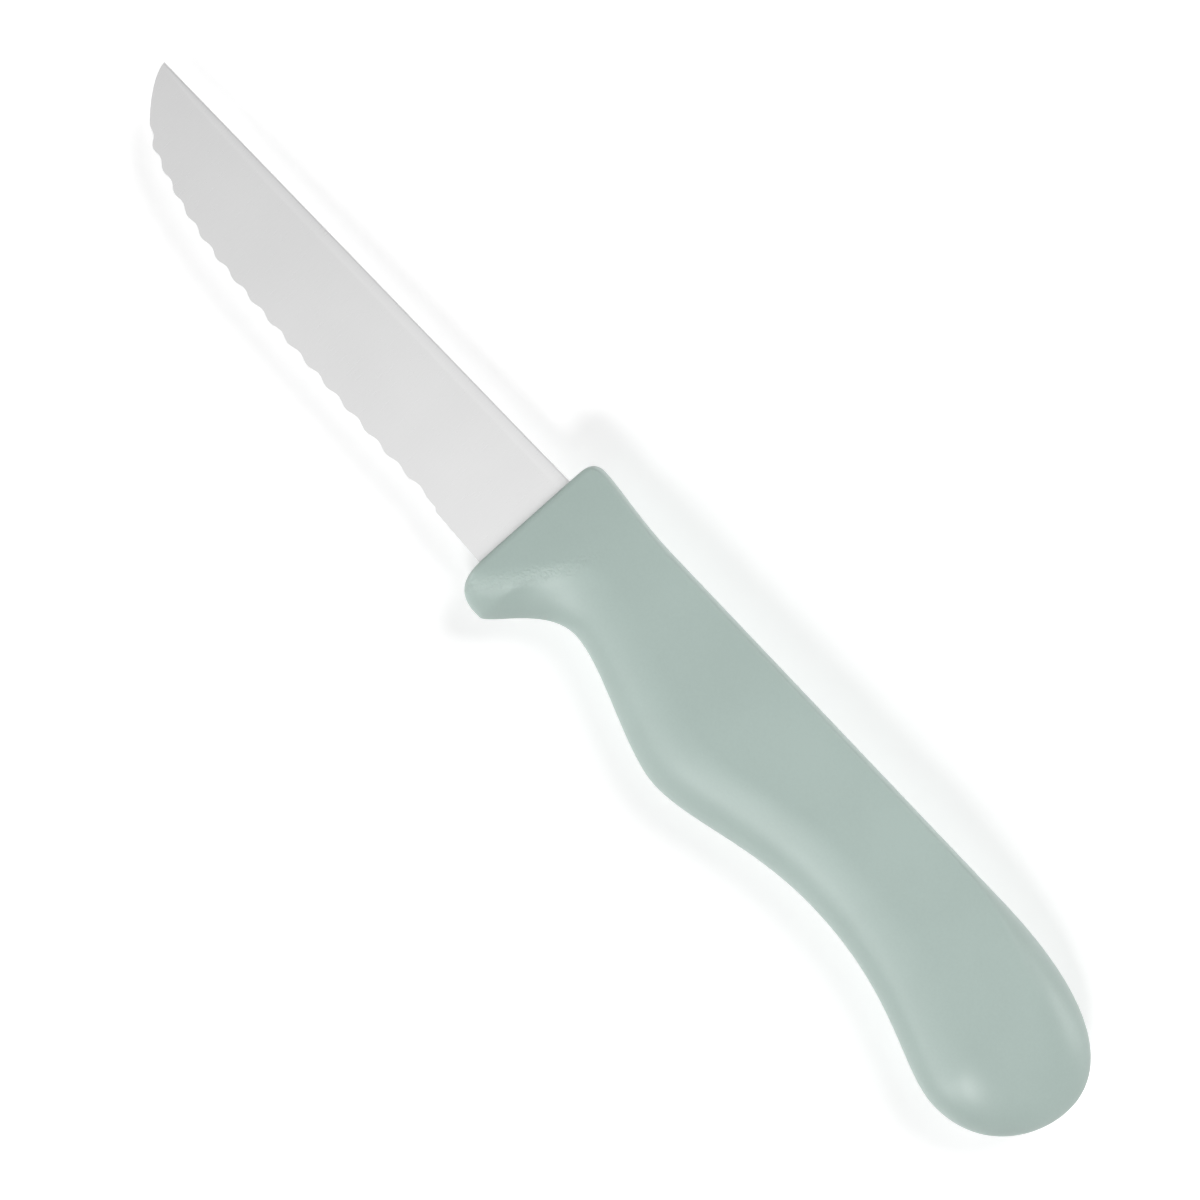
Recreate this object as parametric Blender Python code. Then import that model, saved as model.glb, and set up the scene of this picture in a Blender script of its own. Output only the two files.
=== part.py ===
"""Steak knife: a stamped stainless blade with a wavy ground edge, moulded into a polypropylene handle.

The knife lies on its right side. +X runs from the tip to the butt, +Y from the cutting edge to the back,
and +Z out of the left side. The origin lies under the middle of the whole knife, on the surface that it rests
on. The pieces are drawn about the blade: X from the handle's front, Y from the blade's spine, Z from its
middle plane.
"""

import math

import bmesh
import bpy
import numpy as np
from mathutils import Vector
from mathutils.geometry import interpolate_bezier

# Blade
BLADE_LENGTH = 0.0885
BLADE_WIDTH = 0.0185
BLADE_THICKNESS = 0.0012
SPINE_ROUND = 0.0003
TIP_CURVE_DOWN = 0.0032
TURN_AT = 0.0085
TURN_DEPTH = 0.0105
TURN_SLOPE = 0.353
TURN_TIP_REACH = 0.0029
TURN_HEEL_REACH = 0.0195
EDGE_CURVE_ALONG = 0.0571
EDGE_CURVE_UP = 0.0035
UNGROUND_HEEL = 0.0014
UNGROUND_EXTRA = 0.00002

# Wavy edge, measured along the edge
PLAIN_TIP = 0.0098
PLAIN_HEEL = 0.0116
WAVELESS_HEEL = 0.0131
WAVE_PITCH = 0.0042
WAVE_SPREAD = 0.13
WAVE_DEPTH = 0.00047
HEEL_STEP = 0.0004
HEEL_STEP_RISE = 0.014
HEEL_STEP_FALL = 0.0008
GRIND_WIDTH = 0.0040
GRIND_RUN_OUT = 0.0030
GRIND_SHARE_AT_TIP = 0.75
EDGE_LAND = 0.00012
DEBURR = 0.00015

# Tang, hidden in the handle
SHOULDER_DEPTH = 0.0040
SHOULDER_SLOPE = 0.0030
TANG_LENGTH = 0.075
TANG_WIDTH = 0.0100
TANG_DROP = 0.0032
TANG_END_ROUND = 0.0030
KEY_HOLE_RADIUS = 0.0022
FIRST_KEY_HOLE = 0.022
SECOND_KEY_HOLE = 0.058
MOULD_CLEARANCE = 0.0003
SLOT_OVERCUT = 0.005

# Handle, back outline from front to butt: distance behind the front, and height over the spine
HANDLE_LENGTH = 0.1211
FRONT_TOP = 0.0024
HUMP_AT = 0.00245
HUMP_HEIGHT = 0.00485
BACK_START_AT = 0.0186
BACK_START_HEIGHT = 0.0035
BACK_END_AT = 0.0914
BACK_END_HEIGHT = 0.0029
BUTT_DEPTH = 0.0118

# Handle, finger side: distance behind the front, and depth under the spine
FRONT_BOTTOM = 0.0184
GUARD_AT = 0.0057
GUARD_DEPTH = 0.0242
CHOIL_AT = 0.0173
CHOIL_DEPTH = 0.0156
BELLY_AT = 0.0423
BELLY_DEPTH = 0.0228
WAIST_AT = 0.0716
WAIST_DEPTH = 0.0184
BULB_AT = 0.1065
BULB_DEPTH = 0.02615

# How far the outline runs level on each side of those points
FRONT_TOP_REACH = 0.0019
HUMP_FRONT_REACH = 0.00135
HUMP_REACH = 0.0031
BACK_START_REACH = 0.0068
BACK_END_REACH = 0.0240
GUARD_FRONT_REACH = 0.0014
GUARD_SIDE_REACH = 0.0062
GUARD_REACH = 0.0017
CHOIL_FRONT_REACH = 0.0061
CHOIL_REACH = 0.0062
BELLY_FRONT_REACH = 0.0068
BELLY_REACH = 0.0077
WAIST_FRONT_REACH = 0.0128
WAIST_REACH = 0.0189
BULB_FRONT_REACH = 0.0074
BULB_REACH = 0.0101
BUTT_BACK_REACH = 0.0066
BUTT_REACH = 0.0059

# Handle, thickness and rounding
HANDLE_THICKNESS = 0.0140
FRONT_THICKNESS = 0.0097
FRONT_FLARE = 0.0280
FRONT_FILLET = 0.0008
FRONT_LEAN = 0.04
FRONT_LEAN_FADE = 0.025
BACK_ROUND = 0.0010
BUTT_DOME = 0.0300
BUTT_FULLNESS = 1.85
BACK_WIDENING_START = 0.0360
BACK_WIDENING_RUN = 0.0400
LARGEST_ROUND_SHARE = 0.97
SQUEEZE_FULLNESS = 6
ROUND_FULLNESS = 2.15
FINGER_FULLNESS = 1.72
LIP_FULLNESS = 1.42
LIP_FOLD_FULL = 0.0100
LIP_FOLD_END = 0.0190

# Width of the finger side's round along the handle, and how far it runs level on each side of those points
FRONT_ROUND = 0.0020
LIP_ROUND_AT = 0.0085
LIP_ROUND = 0.0118
CHOIL_ROUND_AT = 0.0200
CHOIL_ROUND = 0.0076
BELLY_ROUND = 0.0086
BULB_ROUND = 0.0110
FRONT_ROUND_REACH = 0.0015
FRONT_ROUND_RISE = 0.0035
LIP_ROUND_REACH = 0.0035
CHOIL_ROUND_FRONT_REACH = 0.0045
CHOIL_ROUND_REACH = 0.0070
BELLY_ROUND_FRONT_REACH = 0.0080
BELLY_ROUND_REACH = 0.0200
BULB_ROUND_FRONT_REACH = 0.0140
BULB_ROUND_REACH = 0.0050

# Facets
POINTS_PER_CURVE = 40
POINTS_PER_WAVE = 10
TIP_STATIONS = 12
HANDLE_STATIONS = 88
FINGER_FACETS = 8
SIDE_FACETS = 2
BACK_FACETS = 5


def linear(red, green, blue):
    """A colour of the screen, 0 to 255, as linear light."""
    values = [channel / 255 for channel in (red, green, blue)]
    return tuple(v / 12.92 if v <= 0.04045 else ((v + 0.055) / 1.055) ** 2.4 for v in values) + (1.0,)


def make_material(name, colour, roughness, metallic):
    material = bpy.data.materials.new(name)
    material.use_nodes = True
    shader = material.node_tree.nodes["Principled BSDF"]
    shader.inputs["Base Color"].default_value = colour
    shader.inputs["Roughness"].default_value = roughness
    shader.inputs["Metallic"].default_value = metallic
    material.diffuse_color = colour
    return material


def ease(share):
    """Rises from 0 to 1 with a level start and end."""
    share = np.clip(share, 0.0, 1.0)
    return share * share * (3 - 2 * share)


def curve_points(start, start_handle, end_handle, end):
    """Points of one Bezier stretch between two knots."""
    corners = [Vector((x, y, 0)) for x, y in (start, start_handle, end_handle, end)]
    return np.array([point[:2] for point in interpolate_bezier(*corners, POINTS_PER_CURVE)])


def outline_through(knots):
    """Joins knots (place, reach before, reach after) by Bezier stretches into one line of points."""
    stretches = []
    for (start, _, leave), (end, arrive, _) in zip(knots, knots[1:]):
        start_handle = (start[0] + leave[0], start[1] + leave[1])
        end_handle = (end[0] - arrive[0], end[1] - arrive[1])
        stretches.append(curve_points(start, start_handle, end_handle, end))
    return np.concatenate(stretches)


def add_object(name, mesh, collection, frame, material=None):
    piece = bpy.data.objects.new(name, mesh)
    piece.parent = frame
    collection.objects.link(piece)
    if material:
        mesh.materials.append(material)
        mesh.shade_smooth()
        mesh.set_sharp_from_angle(angle=math.radians(32))
    else:
        piece.hide_render = True
        piece.display_type = "WIRE"
    return piece


def add_boolean(piece, cutter, operation):
    boolean = piece.modifiers.new(operation.title() + " " + cutter.name, "BOOLEAN")
    boolean.operation = operation
    boolean.solver = "EXACT"
    boolean.object = cutter


def loft(name, rings):
    """Skins closed rings of equally many points, shape (rings, points, 3), and caps both ends."""
    shape = bmesh.new()
    loops = [[shape.verts.new(point) for point in ring] for ring in rings]
    for before, after in zip(loops, loops[1:]):
        for i in range(len(before)):
            j = (i + 1) % len(before)
            shape.faces.new((before[i], before[j], after[j], after[i]))
    shape.faces.new(loops[0])
    shape.faces.new(loops[-1])
    bmesh.ops.recalc_face_normals(shape, faces=shape.faces)
    mesh = bpy.data.meshes.new(name)
    shape.to_mesh(mesh)
    shape.free()
    return mesh


def pillars(name, radius, half_height):
    """One upright cylinder at each keying hole of the tang."""
    shape = bmesh.new()
    for along in (FIRST_KEY_HOLE, SECOND_KEY_HOLE):
        made = bmesh.ops.create_cone(
            shape, cap_ends=True, segments=32, radius1=radius, radius2=radius, depth=2 * half_height
        )
        bmesh.ops.translate(shape, verts=made["verts"], vec=(along, -TANG_DROP - TANG_WIDTH / 2, 0))
    mesh = bpy.data.meshes.new(name)
    shape.to_mesh(mesh)
    shape.free()
    return mesh


def tang_sides(along):
    """Upper and lower side of the metal behind the handle's front: shoulders, tang, round end."""
    narrowing = ease((along - SHOULDER_DEPTH) / SHOULDER_SLOPE)
    left = np.clip((along - TANG_LENGTH + TANG_END_ROUND) / TANG_END_ROUND, 0.0, 1.0)
    rounding = TANG_END_ROUND * (1 - np.sqrt(1 - left**2))
    upper = -TANG_DROP * narrowing - rounding
    lower = -BLADE_WIDTH + (BLADE_WIDTH - TANG_DROP - TANG_WIDTH) * narrowing + rounding
    return upper, lower


def tang_stations():
    """Distances behind the front at which the hidden metal changes width."""
    slope = np.linspace(SHOULDER_DEPTH, SHOULDER_DEPTH + SHOULDER_SLOPE, 7)
    turn = np.linspace(0, math.pi / 2, 7)
    end = TANG_LENGTH - TANG_END_ROUND * (1 - np.sin(turn))
    return np.concatenate([slope, end])


def edge_line():
    """The blade's lower side from tip to heel: points, inward normals and the distance run along the edge.

    The waves get longer towards the heel, as a wheel's marks do along a cut that flattens.
    """
    tip = (-BLADE_LENGTH, 0.0)
    turn = (TURN_AT - BLADE_LENGTH, -TURN_DEPTH)
    heel = (0.0, -BLADE_WIDTH)
    slope = np.array([math.cos(TURN_SLOPE), -math.sin(TURN_SLOPE)])
    fine = outline_through(
        [
            (tip, None, (0, -TIP_CURVE_DOWN)),
            (turn, TURN_TIP_REACH * slope, TURN_HEEL_REACH * slope),
            (heel, (EDGE_CURVE_ALONG, -EDGE_CURVE_UP), None),
        ]
    )
    run = np.concatenate([[0], np.cumsum(np.hypot(*np.diff(fine, axis=0).T))])
    last_wave = run[-1] - WAVELESS_HEEL
    ground_end = run[-1] - PLAIN_HEEL
    waves = max(1, round((last_wave - PLAIN_TIP) / WAVE_PITCH))
    share = np.linspace(0, 1, waves * POINTS_PER_WAVE + 1)
    tip_stations = PLAIN_TIP * np.linspace(0.015, 1, TIP_STATIONS, endpoint=False) ** 1.3
    wave_stations = PLAIN_TIP + (last_wave - PLAIN_TIP) * share * (1 - WAVE_SPREAD + WAVE_SPREAD * share)
    step_stations = ground_end + HEEL_STEP_FALL * np.array([0.0, 0.5, 1.0])
    heel_stations = [*np.linspace(ground_end + GRIND_RUN_OUT, run[-1] - UNGROUND_HEEL, 3), run[-1]]
    stations = np.concatenate([tip_stations, wave_stations, step_stations, heel_stations])
    points = np.column_stack([np.interp(stations, run, fine[:, axis]) for axis in (0, 1)])
    ahead = np.column_stack([np.interp(stations + WAVE_PITCH / 20, run, fine[:, axis]) for axis in (0, 1)])
    behind = np.column_stack([np.interp(stations - WAVE_PITCH / 20, run, fine[:, axis]) for axis in (0, 1)])
    tangent = (ahead - behind) / np.linalg.norm(ahead - behind, axis=1)[:, None]
    inward = np.column_stack([-tangent[:, 1], tangent[:, 0]])
    wave = np.zeros(len(stations))
    wave[len(tip_stations) : len(tip_stations) + len(share)] = 0.5 - 0.5 * np.cos(2 * math.pi * waves * share)
    step = HEEL_STEP * ease((stations - ground_end + HEEL_STEP_RISE) / HEEL_STEP_RISE)
    step = step * (1 - ease((stations - ground_end) / HEEL_STEP_FALL))
    return stations, ground_end, points + inward * (WAVE_DEPTH * wave + step)[:, None], inward


def metal_ring(upper, lower, inward, half, grind, land, corner):
    """One section of the metal: round spine corners, a flat left face, and a right face ground at the edge."""
    bend = corner * (1 - math.sqrt(0.5))
    left_side = [(upper[0], upper[1] - corner, half), (lower[0], lower[1], half)]
    grind_end = (lower[0] + inward[0] * grind, lower[1] + inward[1] * grind, -half)
    edge = [(lower[0], lower[1], half - land), grind_end]
    right_side = [(upper[0], upper[1] - corner, -half), (upper[0], upper[1] - bend, -half + bend)]
    spine = [(upper[0], upper[1], -half + corner), (upper[0], upper[1], half - corner)]
    return left_side + edge + right_side + spine + [(upper[0], upper[1] - bend, half - bend)]


def blade_mesh():
    """Lofts sections from the tip along the edge to the heel, and on along the tang, which stays unground."""
    run, ground_end, edge, inward = edge_line()
    ground = 1 - ease((run - ground_end) / GRIND_RUN_OUT)
    half = BLADE_THICKNESS / 2
    tang_half = half + UNGROUND_EXTRA
    full_land = BLADE_THICKNESS - DEBURR
    rings = []
    for lower, normal, share in zip(edge[:-1], inward, ground):
        width = -lower[1]
        corner = min(SPINE_ROUND, width / 4)
        grind = DEBURR + (GRIND_WIDTH - DEBURR) * share
        grind = min(grind, (width - 2 * corner) * GRIND_SHARE_AT_TIP)
        land = full_land + (EDGE_LAND - full_land) * share
        rings.append(metal_ring((lower[0], 0.0), lower, normal, half, grind, land, corner))
    for along in [0.0, *tang_stations()]:
        upper, lower = tang_sides(along)
        land = 2 * tang_half - DEBURR
        rings.append(metal_ring((along, upper), (along, lower), (0, 1), tang_half, DEBURR, land, SPINE_ROUND))
    return loft("blade", rings)


def slot_mesh():
    """The space for the tang in the handle, one mould clearance wider all round and open at the front."""
    half = BLADE_THICKNESS / 2 + UNGROUND_EXTRA + MOULD_CLEARANCE
    stations = np.concatenate([[-SLOT_OVERCUT, 0.0], tang_stations()])
    rings = []
    for along in stations:
        upper, lower = tang_sides(max(along, 0.0))
        place = along + MOULD_CLEARANCE * along / TANG_LENGTH
        low, high = lower - MOULD_CLEARANCE, upper + MOULD_CLEARANCE
        rings.append([(place, high, half), (place, low, half), (place, low, -half), (place, high, -half)])
    return loft("tang_slot", rings)


def back_outline():
    """The handle's back, from the front face over the hump and along to the butt."""
    run = BACK_END_AT - BACK_START_AT
    slope = np.array([1, (BACK_END_HEIGHT - BACK_START_HEIGHT) / run])
    return outline_through(
        [
            ((0, FRONT_TOP), None, (0, FRONT_TOP_REACH)),
            ((HUMP_AT, HUMP_HEIGHT), (HUMP_FRONT_REACH, 0), (HUMP_REACH, 0)),
            ((BACK_START_AT, BACK_START_HEIGHT), BACK_START_REACH * slope, run / 3 * slope),
            ((BACK_END_AT, BACK_END_HEIGHT), run / 3 * slope, BACK_END_REACH * slope),
            ((HANDLE_LENGTH, -BUTT_DEPTH), (0, -BUTT_BACK_REACH), None),
        ]
    )


def finger_outline():
    """The handle's finger side: front face, guard lip, choil, belly, waist, bulb and butt."""
    return outline_through(
        [
            ((0, -FRONT_BOTTOM), None, (0, -GUARD_SIDE_REACH)),
            ((GUARD_AT, -GUARD_DEPTH), (GUARD_FRONT_REACH, 0), (GUARD_REACH, 0)),
            ((CHOIL_AT, -CHOIL_DEPTH), (CHOIL_FRONT_REACH, 0), (CHOIL_REACH, 0)),
            ((BELLY_AT, -BELLY_DEPTH), (BELLY_FRONT_REACH, 0), (BELLY_REACH, 0)),
            ((WAIST_AT, -WAIST_DEPTH), (WAIST_FRONT_REACH, 0), (WAIST_REACH, 0)),
            ((BULB_AT, -BULB_DEPTH), (BULB_FRONT_REACH, 0), (BULB_REACH, 0)),
            ((HANDLE_LENGTH, -BUTT_DEPTH), (0, BUTT_REACH), None),
        ]
    )


def finger_round():
    """Width of the finger side's round along the handle: small at the front, wide at the lip and the bulb."""
    return outline_through(
        [
            ((0, FRONT_ROUND), None, (FRONT_ROUND_REACH, FRONT_ROUND_RISE)),
            ((LIP_ROUND_AT, LIP_ROUND), (LIP_ROUND_REACH, 0), (LIP_ROUND_REACH, 0)),
            ((CHOIL_ROUND_AT, CHOIL_ROUND), (CHOIL_ROUND_FRONT_REACH, 0), (CHOIL_ROUND_REACH, 0)),
            ((BELLY_AT, BELLY_ROUND), (BELLY_ROUND_FRONT_REACH, 0), (BELLY_ROUND_REACH, 0)),
            ((BULB_AT, BULB_ROUND), (BULB_ROUND_FRONT_REACH, 0), (BULB_ROUND_REACH, 0)),
            ((HANDLE_LENGTH, BULB_ROUND), (BULB_ROUND_REACH, 0), None),
        ]
    )


def handle_stations():
    """Distances behind the front: close together at the front fillet, the lip and the butt's dome."""
    share = np.linspace(0, 1, HANDLE_STATIONS)
    even = HANDLE_LENGTH * share
    close = HANDLE_LENGTH * (0.5 - 0.5 * np.cos(math.pi * share))
    stations = 0.35 * even + 0.65 * close
    fillet = FRONT_FILLET * np.array([0.05, 0.18, 0.4, 0.7])
    butt = HANDLE_LENGTH - BUTT_DOME * np.array([0.0125, 0.006, 0.002, 0.0003])
    inner = stations[(stations > FRONT_FILLET) & (stations < butt[0])]
    return np.concatenate([[0.0], fillet, inner, butt])


def half_thickness(along):
    """Half the handle's thickness: a small fillet at the front, a flare, flat sides and the butt's dome."""
    start = FRONT_THICKNESS / 2
    flare = np.clip(along / FRONT_FLARE, 0, 1)
    half = start + (HANDLE_THICKNESS / 2 - start) * (1 - (1 - flare) ** 2)
    before = np.clip(1 - along / FRONT_FILLET, 0, 1)
    half = half - FRONT_FILLET * (1 - np.sqrt(1 - before**2))
    dome = np.clip((along - HANDLE_LENGTH + BUTT_DOME) / BUTT_DOME, 0, 1)
    return half * (1 - dome**BUTT_FULLNESS) ** (1 / BUTT_FULLNESS)


def handle_ring(along, top, bottom, finger):
    """One section: a wide round on the finger side, a flat side, and a smaller round at the back.

    The wide round leaves the flat side at a soft fold, which is sharpest at the lip.
    """
    half = half_thickness(along)
    widening = ease((along - HANDLE_LENGTH + BACK_WIDENING_START) / BACK_WIDENING_RUN)
    back = BACK_ROUND + (finger - BACK_ROUND) * widening
    room = LARGEST_ROUND_SHARE * (top - bottom) / (finger + back)
    squeeze = (1 + room**-SQUEEZE_FULLNESS) ** (-1 / SQUEEZE_FULLNESS)
    finger, back = finger * squeeze, back * squeeze
    power = 2 / ROUND_FULLNESS
    fold = 1 - ease((along - LIP_FOLD_FULL) / (LIP_FOLD_END - LIP_FOLD_FULL))
    fold_power = 2 / (FINGER_FULLNESS + (LIP_FULLNESS - FINGER_FULLNESS) * fold)
    turn = np.linspace(0, math.pi / 2, FINGER_FACETS + 1)
    finger_y = bottom + finger * (1 - np.cos(turn) ** fold_power)
    finger_z = half * np.sin(turn) ** power
    side_y = np.linspace(bottom + finger, top - back, SIDE_FACETS + 1)[1:-1]
    turn = np.linspace(math.pi / 2, 0, BACK_FACETS + 1)
    back_y = top - back * (1 - np.cos(turn) ** power)
    back_z = half * np.sin(turn) ** power
    y = np.concatenate([finger_y, side_y, back_y])
    z = np.concatenate([finger_z, np.full(len(side_y), half), back_z])
    y = np.concatenate([y, y[-2:0:-1]])
    z = np.concatenate([z, -z[-2:0:-1]])
    x = along + FRONT_LEAN * y * np.clip(1 - along / FRONT_LEAN_FADE, 0, 1) ** 2
    return np.column_stack([x, y, z])


def handle_mesh():
    stations = handle_stations()
    top = np.interp(stations, *back_outline().T)
    bottom = np.interp(stations, *finger_outline().T)
    finger = np.interp(stations, *finger_round().T)
    return loft("handle", [handle_ring(*row) for row in zip(stations, top, bottom, finger)])


def build():
    for old in list(bpy.data.objects):
        bpy.data.objects.remove(old, do_unlink=True)
    knife = bpy.data.collections.new("steak_knife")
    cutters = bpy.data.collections.new("cutters")
    bpy.context.scene.collection.children.link(knife)
    bpy.context.scene.collection.children.link(cutters)

    frame = bpy.data.objects.new("knife_frame", None)
    frame.location = (
        (BLADE_LENGTH - HANDLE_LENGTH) / 2,
        (BULB_DEPTH - HUMP_HEIGHT) / 2,
        HANDLE_THICKNESS / 2,
    )
    knife.objects.link(frame)

    steel = make_material("stainless_steel", linear(214, 214, 214), 0.32, 1.0)
    plastic = make_material("sage_polypropylene", linear(173, 190, 184), 0.5, 0.0)

    blade = add_object("blade", blade_mesh(), knife, frame, steel)
    key_hole_mesh = pillars("key_holes", KEY_HOLE_RADIUS, BLADE_THICKNESS)
    key_holes = add_object("key_holes", key_hole_mesh, cutters, frame)
    add_boolean(blade, key_holes, "DIFFERENCE")

    handle = add_object("handle", handle_mesh(), knife, frame, plastic)
    tang_slot = add_object("tang_slot", slot_mesh(), cutters, frame)
    peg_radius = KEY_HOLE_RADIUS - MOULD_CLEARANCE
    peg_half = BLADE_THICKNESS / 2 + 3 * MOULD_CLEARANCE
    key_pegs = add_object("key_pegs", pillars("key_pegs", peg_radius, peg_half), cutters, frame)
    add_boolean(handle, tang_slot, "DIFFERENCE")
    add_boolean(handle, key_pegs, "UNION")


build()
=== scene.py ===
"""Steak knife: the finished surfaces of its wavy-edged steel blade and its moulded polypropylene handle.

+X runs from the tip to the butt, +Y from the cutting edge to the back, and +Z out of the left side, which
shows. Shapes are worked out about the blade, X from the handle's front, Y from the blade's spine and Z from
its middle plane, and then moved to the knife's own origin, under the middle of the knife.
"""

import math

import bpy
import numpy as np
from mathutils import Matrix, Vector


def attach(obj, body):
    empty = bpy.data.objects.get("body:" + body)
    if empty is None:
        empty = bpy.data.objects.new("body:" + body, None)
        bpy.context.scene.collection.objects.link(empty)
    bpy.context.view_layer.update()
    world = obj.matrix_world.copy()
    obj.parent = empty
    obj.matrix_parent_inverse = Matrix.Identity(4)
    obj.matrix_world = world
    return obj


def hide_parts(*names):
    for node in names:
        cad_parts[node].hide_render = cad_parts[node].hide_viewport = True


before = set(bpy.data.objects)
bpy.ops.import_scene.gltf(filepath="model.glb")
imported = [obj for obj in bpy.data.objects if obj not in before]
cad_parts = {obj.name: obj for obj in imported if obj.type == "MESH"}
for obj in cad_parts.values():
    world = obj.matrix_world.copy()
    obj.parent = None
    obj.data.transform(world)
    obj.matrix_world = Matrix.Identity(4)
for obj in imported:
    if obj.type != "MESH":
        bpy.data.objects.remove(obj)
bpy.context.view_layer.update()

MM = 0.001

# Blade. Its tip curve turns into the edge at a place behind the tip, at a depth under the spine
BLADE_LENGTH = 88.5 * MM
BLADE_WIDTH = 18.5 * MM
BLADE_THICKNESS = 1.2 * MM
SPINE_ROUND = 0.3 * MM
SPINE_ROUND_SHARE_AT_TIP = 0.25
TIP_CURVE_DOWN = 3.2 * MM
TURN_AT = 8.5 * MM
TURN_DEPTH = 10.5 * MM
TURN_SLOPE = 0.353
TURN_TIP_REACH = 2.9 * MM
TURN_HEEL_REACH = 19.5 * MM
EDGE_CURVE_ALONG = 57.1 * MM
EDGE_CURVE_UP = 3.5 * MM

# Wavy edge, measured along the edge. The waves' length grows from 1 - WAVE_SPREAD of their mean at the tip
# to 1 + WAVE_SPREAD at the heel
PLAIN_TIP = 9.8 * MM
PLAIN_HEEL = 11.6 * MM
WAVELESS_HEEL = 13.1 * MM
WAVES = 17
WAVE_SPREAD = 0.13
WAVE_DEPTH = 0.47 * MM
HEEL_STEP = 0.4 * MM
HEEL_STEP_RISE = 14.0 * MM
HEEL_STEP_FALL = 0.8 * MM
GRIND_WIDTH = 4.0 * MM
GRIND_RUN_OUT = 3.0 * MM
GRIND_SHARE_AT_TIP = 0.75
EDGE_LAND = 0.12 * MM
DEBURR = 0.15 * MM

# Tang, hidden in the handle, and the slot round it
SHOULDER_DEPTH = 4.0 * MM
SHOULDER_SLOPE = 3.0 * MM
TANG_LENGTH = 75.0 * MM
TANG_WIDTH = 10.0 * MM
TANG_DROP = 3.2 * MM
TANG_END_ROUND = 3.0 * MM
SLOT_GAP = 0.06 * MM
SLOT_MOUTH_ROUND = 0.12 * MM

# Handle outline: distance behind the front, and height over or depth under the spine
HANDLE_LENGTH = 121.1 * MM
FRONT_TOP = 2.4 * MM
HUMP = (2.45 * MM, 4.85 * MM)
BACK_START = (18.6 * MM, 3.5 * MM)
BACK_END = (91.4 * MM, 2.9 * MM)
BUTT_DEPTH = 11.8 * MM
FRONT_BOTTOM = 18.4 * MM
GUARD = (5.7 * MM, -24.2 * MM)
CHOIL = (17.3 * MM, -15.6 * MM)
BELLY = (42.3 * MM, -22.8 * MM)
WAIST = (71.6 * MM, -18.4 * MM)
BULB = (106.5 * MM, -26.15 * MM)

# How far the outline runs level before and after those points
FRONT_TOP_REACH = 1.9 * MM
HUMP_REACHES = (1.35 * MM, 3.1 * MM)
BACK_START_REACH = 6.8 * MM
BACK_END_REACH = 24.0 * MM
GUARD_SIDE_REACH = 6.2 * MM
GUARD_REACHES = (1.4 * MM, 1.7 * MM)
CHOIL_REACHES = (6.1 * MM, 6.2 * MM)
BELLY_REACHES = (6.8 * MM, 7.7 * MM)
WAIST_REACHES = (12.8 * MM, 18.9 * MM)
BULB_REACHES = (7.4 * MM, 10.1 * MM)
BUTT_REACHES = (5.9 * MM, 6.6 * MM)

# Handle, thickness and rounding
HANDLE_THICKNESS = 14.0 * MM
FRONT_THICKNESS = 9.7 * MM
FRONT_FLARE = 28.0 * MM
FRONT_FILLET = 0.8 * MM
FRONT_LEAN = 0.04
FRONT_LEAN_FADE = 25.0 * MM
BACK_ROUND = 1.0 * MM
BUTT_DOME = 16.7 * MM
BUTT_FULLNESS = 1.65
BACK_WIDENING_START = 38.9 * MM
BACK_WIDENING_RUN = 40.0 * MM
LARGEST_ROUND_SHARE = 0.97
SQUEEZE_FULLNESS = 6
BACK_FULLNESS = 2.15
PARTING_LINE_HEIGHT = 0.035 * MM
PARTING_LINE_WIDTH = 0.16 * MM

# Fullness of the finger side's round along the handle: of its fold by the flat side and its fall to the edge
FOLD_FULLNESS = ((0.0, 2.6), (9.0 * MM, 1.44), (22.0 * MM, 1.77), (HANDLE_LENGTH, 1.93))
FALL_FULLNESS = ((0.0, 3.0), (7.6 * MM, 1.45), (22.0 * MM, 2.16), (BELLY[0], 1.69), (BULB[0], 2.53))

# Width of the finger side's round along the handle, and how far it runs level before and after those points
FRONT_ROUND = 1.5 * MM
LIP_ROUND = (7.7 * MM, 12.6 * MM)
CHOIL_ROUND = (20.0 * MM, 9.45 * MM)
BELLY_ROUND = (BELLY[0], 10.05 * MM)
BULB_ROUND = (BULB[0], 10.0 * MM)
FRONT_ROUND_REACH = (1.5 * MM, 3.5 * MM)
LIP_ROUND_REACH = 3.5 * MM
CHOIL_ROUND_REACHES = (4.5 * MM, 7.0 * MM)
BELLY_ROUND_REACHES = (8.0 * MM, 20.0 * MM)
BULB_ROUND_REACHES = (14.0 * MM, 5.0 * MM)

# The knife's origin, seen from the blade's
KNIFE_ORIGIN = np.array([(BLADE_LENGTH - HANDLE_LENGTH) / 2, (-BULB[1] - HUMP[1]) / 2, HANDLE_THICKNESS / 2])

# Mesh of the handle: sections along it, how much closer they lie at its ends, the last sections of the butt's
# dome as shares of its depth, and points round each half
POINTS_PER_CURVE = 400
HANDLE_SECTIONS = 300
END_CROWDING = 0.6
FILLET_SECTIONS = 10
FILLET_CLEARANCE = 1.3
DOME_SECTIONS = (0.0125, 0.008, 0.005, 0.0028, 0.0012, 0.0003, 0.00003)
FRONT_FACE_RINGS = 8
FINGER_POINTS = 30
SIDE_POINTS = 20
BACK_POINTS = 22
PARTING_LINE_TURNS = (0.0, 0.006, 0.014)
FIRST_ROUND_TURN = 0.03
HANDLE_SHARP_ANGLE = 40

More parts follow.
